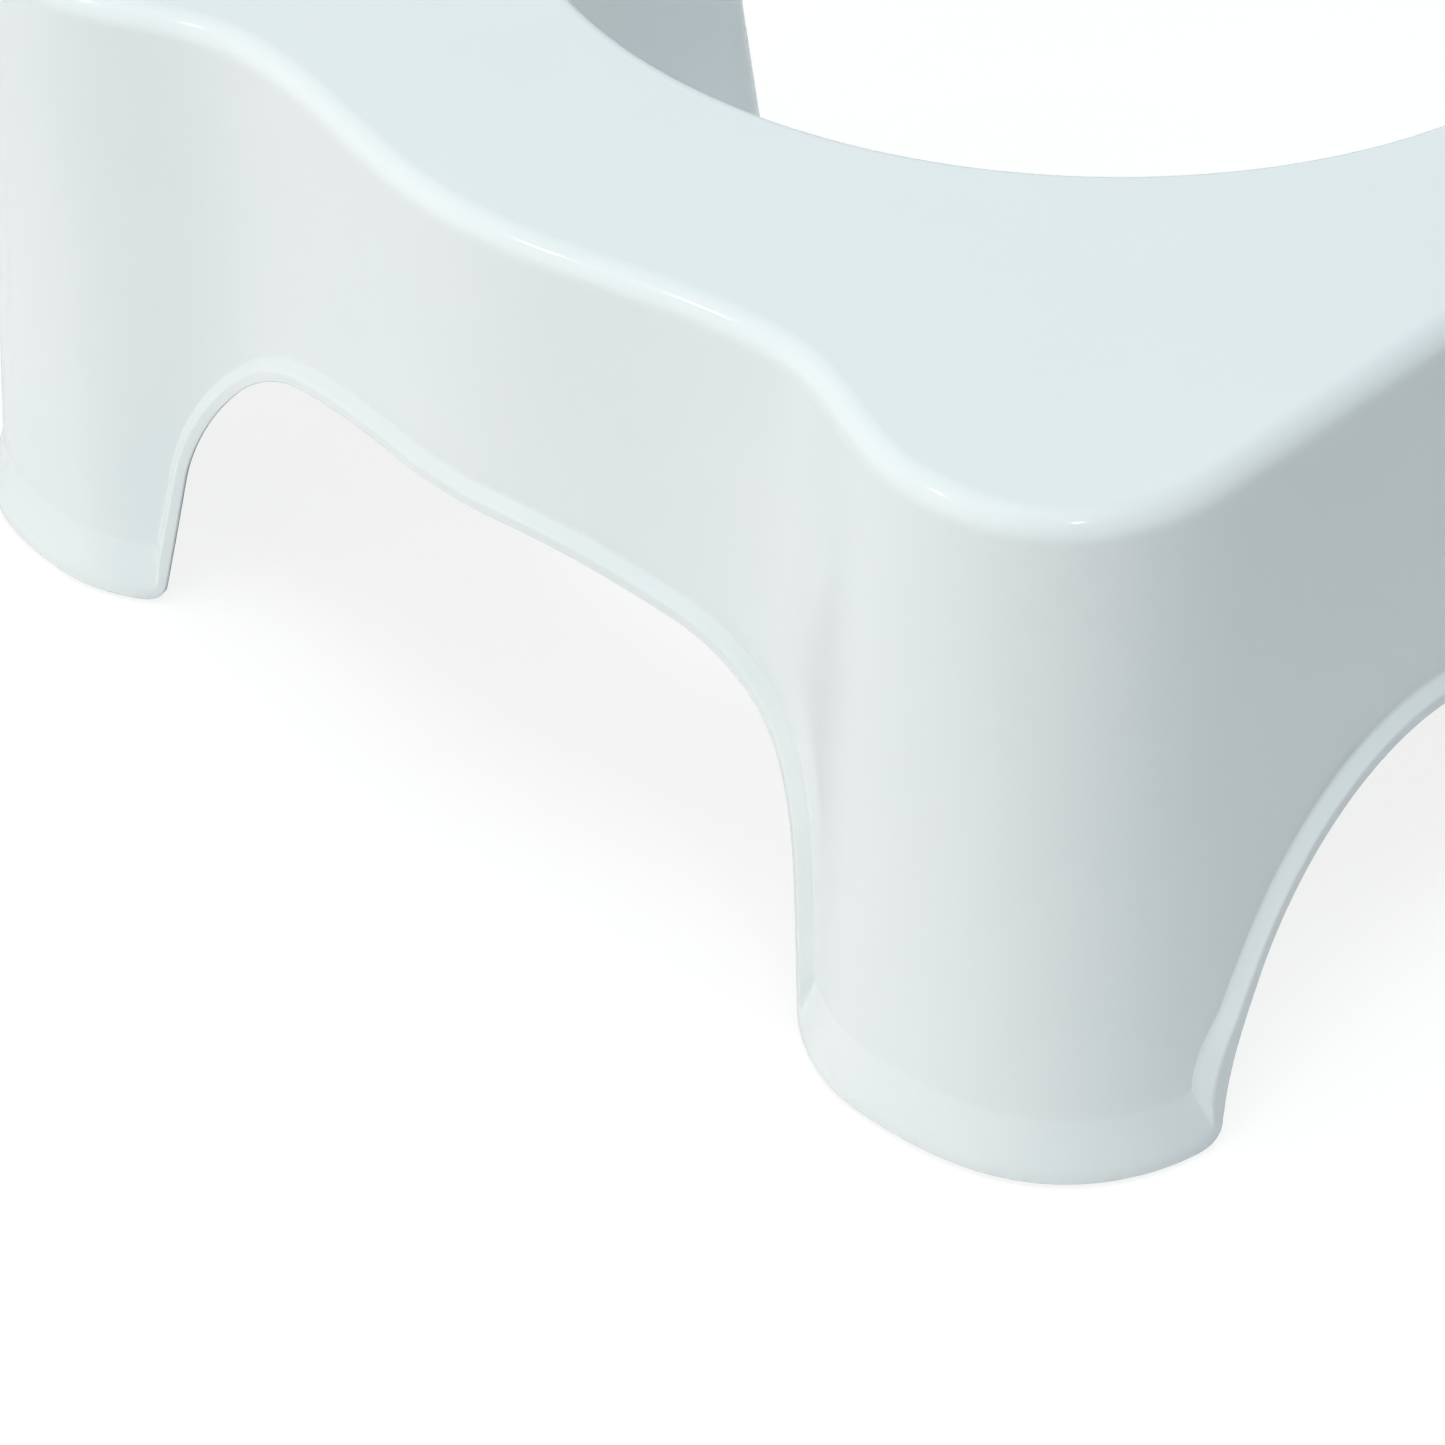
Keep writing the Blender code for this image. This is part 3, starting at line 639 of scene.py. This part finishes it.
def make_ribs(ribs):
    """The stiffening ribs, as boxes that the shell takes in."""
    top = HEIGHT - RIB_TOP_DEPTH
    bottom = HEIGHT - WALL - RIB_DEPTH
    for index, (left, front, right, back) in enumerate(rib_spans()):
        name = f"rib_{index:02d}"
        add_object(name, box_mesh(name, (left, front, bottom), (right, back, top)), ribs)


def ribbon(start, end, width):
    """A round-ended strip that follows a foot, as a closed outline on the floor."""
    radius = width / 2
    along = np.linspace(start + radius, end - radius, PAD_SIDE_POINTS)
    turn = np.linspace(-math.pi / 2, math.pi / 2, PAD_END_POINTS + 1)[1:-1]
    middle = PAD_MIDDLE_OFFSET
    sides = [
        (along, np.full(len(along), middle - radius)),
        (end - radius + radius * np.cos(turn), middle + radius * np.sin(turn)),
        (along[::-1], np.full(len(along), middle + radius)),
        (start + radius - radius * np.cos(turn), middle - radius * np.sin(turn)),
    ]
    points = [OUTLINE.surface(lengths, 0.0, offsets) for lengths, offsets in sides]
    return np.concatenate(points)[:, :2]


def slab(name, outline, bottom, top, rounding, side, collection):
    """A flat strip between two heights with rounded edges, made by filling a curve."""
    curve = bpy.data.curves.new(name, "CURVE")
    curve.dimensions = "2D"
    curve.fill_mode = "BOTH"
    curve.extrude = (top - bottom) / 2 - rounding
    curve.bevel_depth = rounding
    curve.bevel_resolution = PAD_ROUNDING_STEPS if rounding else 0
    curve.offset = -rounding
    spline = curve.splines.new("POLY")
    spline.points.add(len(outline) - 1)
    for point, (x, y) in zip(spline.points, outline):
        point.co = (side * x, y, 0, 1)
    spline.use_cyclic_u = True
    drawn = add_object(name + "_curve", curve, collection)
    drawn.location.z = (bottom + top) / 2
    mesh = evaluated_mesh(drawn)
    mesh.transform(drawn.matrix_world)
    work = bmesh.new()
    work.from_mesh(mesh)
    bmesh.ops.remove_doubles(work, verts=work.verts, dist=MERGE_DISTANCE)
    bmesh.ops.recalc_face_normals(work, faces=work.faces)
    work.to_mesh(mesh)
    work.free()
    bpy.data.objects.remove(drawn)
    return add_object(name, mesh, collection)


def foot_spans():
    """The outline lengths that each pad covers, on the front and the rear foot."""
    front = (FRONT_FOOT[0] + PAD_END_DISTANCE, FRONT_FOOT[1] - PAD_END_DISTANCE)
    rear_start = REAR_FOOT[0] + PAD_END_DISTANCE
    return {"front": front, "rear": (rear_start, rear_start + REAR_PAD_LENGTH)}


def make_pads(pieces, cutters, material):
    """Four rounded rubber pads in the places of the CAD pads, and the grooves that they sit in."""
    for place, (start, end) in foot_spans().items():
        for hand, side in (("left", -1), ("right", 1)):
            node = "foot_pad_" + place + "_" + hand
            low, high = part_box(node)
            name = "rubber_pad_" + place + "_" + hand
            outline = ribbon(start, end, PAD_WIDTH)
            pad = slab(name, outline, low.z, high.z, PAD_ROUNDING, side, pieces)
            pad.data.materials.clear()
            pad.data.materials.append(material)
            pad.data.shade_smooth()
            pad.data.set_sharp_from_angle(angle=SHARP_ANGLE)
            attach(pad, "root")
            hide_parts(node)
            groove = ribbon(start - FIT_GAP, end + FIT_GAP, PAD_WIDTH + 2 * FIT_GAP)
            slab(name + "_groove", groove, -PAD_PROUD, high.z + FIT_GAP, 0.0, side, cutters)


def add_boolean(item, name, operation, collection):
    change = item.modifiers.new(name, "BOOLEAN")
    change.operation = operation
    change.operand_type = "COLLECTION"
    change.collection = collection
    change.solver = "EXACT"


def make_shell(pieces, ribs, grooves, material):
    """The one-piece moulding: both halves, with the ribs joined on and the pad grooves cut."""
    body = add_object("moulded_shell", mesh_from(build_shell, "moulded_shell"), pieces)
    mirror = body.modifiers.new("other_half", "MIRROR")
    mirror.merge_threshold = MERGE_DISTANCE
    mirror.use_clip = True
    add_boolean(body, "ribs", "UNION", ribs)
    add_boolean(body, "pad_grooves", "DIFFERENCE", grooves)
    mesh = evaluated_mesh(body)
    mesh.name = "moulded_shell_joined"
    body.modifiers.clear()
    body.data = mesh
    mesh.materials.clear()
    mesh.materials.append(material)
    mesh.shade_smooth()
    mesh.set_sharp_from_angle(angle=SHARP_ANGLE)
    even = body.modifiers.new("flat_faces_shade_flat", "WEIGHTED_NORMAL")
    even.keep_sharp = True
    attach(body, "root")
    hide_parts("stool_body")


class Nodes:
    """Adds and links the nodes of one material."""

    def __init__(self, name):
        self.material = bpy.data.materials.new(name)
        self.material.use_nodes = True
        self.tree = self.material.node_tree
        self.shader = self.tree.nodes["Principled BSDF"]

    def add(self, kind, inputs=None, **settings):
        """One node, with its inputs set to values or linked to other nodes' outputs."""
        node = self.tree.nodes.new(kind)
        for key, value in settings.items():
            setattr(node, key, value)
        for key, value in (inputs or {}).items():
            self.put(node.inputs[key], value)
        return node

    def put(self, socket, value):
        if isinstance(value, bpy.types.NodeSocket):
            self.tree.links.new(value, socket)
        else:
            socket.default_value = value

    def noise(self, scale, detail, place):
        """A noise in metres: about this many features per metre."""
        inputs = {"Vector": place, "Scale": scale, "Detail": detail}
        return self.add("ShaderNodeTexNoise", inputs).outputs["Fac"]

    def remap(self, value, low, high, new_low, new_high):
        """A value taken from one range to another, held at the ends."""
        inputs = {
            "Value": value,
            "From Min": low,
            "From Max": high,
            "To Min": new_low,
            "To Max": new_high,
        }
        return self.add("ShaderNodeMapRange", inputs).outputs["Result"]

    def mottle(self, noise, place, low, high):
        """A value that a noise varies from low to high."""
        scale, detail, start, end = noise
        return self.remap(self.noise(scale, detail, place), start, end, low, high)

    def times(self, first, second):
        node = self.add("ShaderNodeMath", operation="MULTIPLY")
        self.put(node.inputs[0], first)
        self.put(node.inputs[1], second)
        return node.outputs["Value"]

    def blend(self, share, first, second):
        """A colour between two colours."""
        node = self.add("ShaderNodeMix", data_type="RGBA")
        self.put(node.inputs[MIX_SHARE], share)
        self.put(node.inputs[MIX_FIRST], first)
        self.put(node.inputs[MIX_SECOND], second)
        return node.outputs[MIX_RESULT]

    def bump(self, height, strength, distance):
        inputs = {"Height": height, "Strength": strength, "Distance": distance}
        bump = self.add("ShaderNodeBump", inputs)
        self.put(self.shader.inputs["Normal"], bump.outputs["Normal"])


def shell_material():
    """Glossy moulded white plastic: a cool tint that drifts a little, scuffed near the floor."""
    nodes = Nodes("moulded_white_plastic")
    place = nodes.add("ShaderNodeTexCoord").outputs["Object"]
    height = nodes.add("ShaderNodeSeparateXYZ", {"Vector": place}).outputs["Z"]
    tint = nodes.blend(nodes.mottle(TINT_NOISE, place, 0.0, 1.0), *TINTS)
    near_floor = nodes.remap(height, *SCUFF_HEIGHTS, 1.0, 0.0)
    scuffs = nodes.times(near_floor, nodes.mottle(SCUFF_NOISE, place, 0.0, MOST_SCUFFED))
    nodes.put(nodes.shader.inputs["Base Color"], nodes.blend(scuffs, tint, SCUFF_COLOUR))
    polish = nodes.mottle(POLISH_NOISE, place, *SHELL_ROUGHNESS)
    rough = nodes.add("ShaderNodeMath", operation="ADD")
    nodes.put(rough.inputs[0], polish)
    nodes.put(rough.inputs[1], nodes.times(scuffs, SCUFF_ROUGHNESS))
    nodes.put(nodes.shader.inputs["Roughness"], rough.outputs["Value"])
    nodes.bump(nodes.noise(*SHELL_GRAIN, place), *SHELL_BUMP)
    nodes.shader.inputs["IOR"].default_value = SHELL_IOR
    return nodes.material


def pad_material():
    """Matt grey rubber with a fine grain and floor dust."""
    nodes = Nodes("matt_grey_rubber")
    place = nodes.add("ShaderNodeTexCoord").outputs["Object"]
    dust = nodes.mottle(DUST_NOISE, place, 0.0, MOST_DUSTY)
    nodes.put(nodes.shader.inputs["Base Color"], nodes.blend(dust, RUBBER_COLOUR, DUST_COLOUR))
    rough = nodes.mottle(RUBBER_NOISE, place, *RUBBER_ROUGHNESS)
    nodes.put(nodes.shader.inputs["Roughness"], rough)
    nodes.bump(nodes.noise(*RUBBER_GRAIN, place), *RUBBER_BUMP)
    nodes.shader.inputs["IOR"].default_value = RUBBER_IOR
    return nodes.material


def camera_share(tree):
    """1 for rays that show the backdrop to the camera, straight or by reflection."""
    path = tree.nodes.new("ShaderNodeLightPath")
    total = path.outputs["Is Camera Ray"]
    for name in ("Is Glossy Ray", "Is Transmission Ray"):
        most = tree.nodes.new("ShaderNodeMath")
        most.operation = "MAXIMUM"
        tree.links.new(total, most.inputs[0])
        tree.links.new(path.outputs[name], most.inputs[1])
        total = most.outputs["Value"]
    return total


def floor_material():
    """A pale floor: matt for the light that it gives back, near white with a shadow when seen."""
    material = bpy.data.materials.new("pale_floor")
    material.use_nodes = True
    tree = material.node_tree
    tree.nodes.remove(tree.nodes["Principled BSDF"])
    matt = tree.nodes.new("ShaderNodeBsdfDiffuse")
    matt.inputs["Color"].default_value = FLOOR_COLOUR
    seen = tree.nodes.new("ShaderNodeBsdfDiffuse")
    seen.inputs["Color"].default_value = FLOOR_SHOWN_COLOUR
    glow = tree.nodes.new("ShaderNodeEmission")
    glow.inputs["Strength"].default_value = FLOOR_GLOW
    both = tree.nodes.new("ShaderNodeAddShader")
    tree.links.new(seen.outputs[0], both.inputs[0])
    tree.links.new(glow.outputs[0], both.inputs[1])
    path = tree.nodes.new("ShaderNodeLightPath")
    choice = tree.nodes.new("ShaderNodeMixShader")
    tree.links.new(path.outputs["Is Camera Ray"], choice.inputs[0])
    tree.links.new(matt.outputs[0], choice.inputs[1])
    tree.links.new(both.outputs[0], choice.inputs[2])
    tree.links.new(choice.outputs[0], tree.nodes["Material Output"].inputs["Surface"])
    return material


def make_floor(collection):
    """A floor far wider than the camera's view."""
    def build(work):
        bmesh.ops.create_grid(work, x_segments=1, y_segments=1, size=FLOOR_HALF_SIZE)
    floor = add_object("studio_floor", mesh_from(build, "studio_floor"), collection)
    floor.data.materials.append(floor_material())


def make_world():
    """A dim cool sky that shows white behind the object."""
    world = bpy.data.worlds.new("soft_sky")
    world.use_nodes = True
    tree = world.node_tree
    sky = tree.nodes["Background"]
    sky.inputs["Color"].default_value = SKY_COLOUR
    white = tree.nodes.new("ShaderNodeBackground")
    white.inputs["Color"].default_value = (1, 1, 1, 1)
    choice = tree.nodes.new("ShaderNodeMixShader")
    tree.links.new(camera_share(tree), choice.inputs[0])
    tree.links.new(sky.outputs[0], choice.inputs[1])
    tree.links.new(white.outputs[0], choice.inputs[2])
    tree.links.new(choice.outputs[0], tree.nodes["World Output"].inputs["Surface"])
    bpy.context.scene.world = world


def make_lamps(collection):
    """Wide soft panels above and on three sides, and small lamps that draw the thin glints."""
    for name, direction, distance, width, power, colour in LAMPS:
        light = bpy.data.lights.new(name, "AREA")
        light.shape = "DISK"
        light.size = width
        light.energy = power
        light.color = colour
        lamp = add_object(name, light, collection)
        towards = Vector(direction).normalized()
        lamp.location = towards * distance
        lamp.rotation_euler = towards.to_track_quat("Z", "Y").to_euler()
        lamp.visible_camera = False
        lamp.visible_glossy = width < WIDEST_MIRRORED_LAMP


def make_camera(collection):
    """The camera, looking down at the right pod's corner from the front right."""
    azimuth, elevation = CAMERA_AZIMUTH, CAMERA_ELEVATION
    back = Vector((
        math.sin(azimuth) * math.cos(elevation),
        -math.cos(azimuth) * math.cos(elevation),
        math.sin(elevation),
    ))
    data = bpy.data.cameras.new("photo_view")
    data.sensor_width = CAMERA_SENSOR_MM
    data.lens = CAMERA_LENS_MM
    camera = add_object("photo_view", data, collection)
    camera.location = CAMERA_TARGET + back * CAMERA_DISTANCE
    camera.rotation_euler = (math.pi / 2 - elevation, 0, azimuth)
    bpy.context.scene.camera = camera


def new_collection(name, hidden):
    collection = bpy.data.collections.new(name)
    bpy.context.scene.collection.children.link(collection)
    collection.hide_render = hidden
    return collection


def main():
    bpy.context.scene.view_settings.view_transform = "Standard"
    pieces = new_collection("footstool_looks", False)
    ribs = new_collection("ribs", True)
    grooves = new_collection("pad_groove_cutters", True)
    make_pads(pieces, grooves, pad_material())
    make_ribs(ribs)
    make_shell(pieces, ribs, grooves, shell_material())
    for collection in (ribs, grooves):
        for item in list(collection.objects):
            bpy.data.objects.remove(item, do_unlink=True)
        bpy.data.collections.remove(collection)
    studio = new_collection("studio", False)
    make_floor(studio)
    make_world()
    make_lamps(studio)
    make_camera(studio)


main()
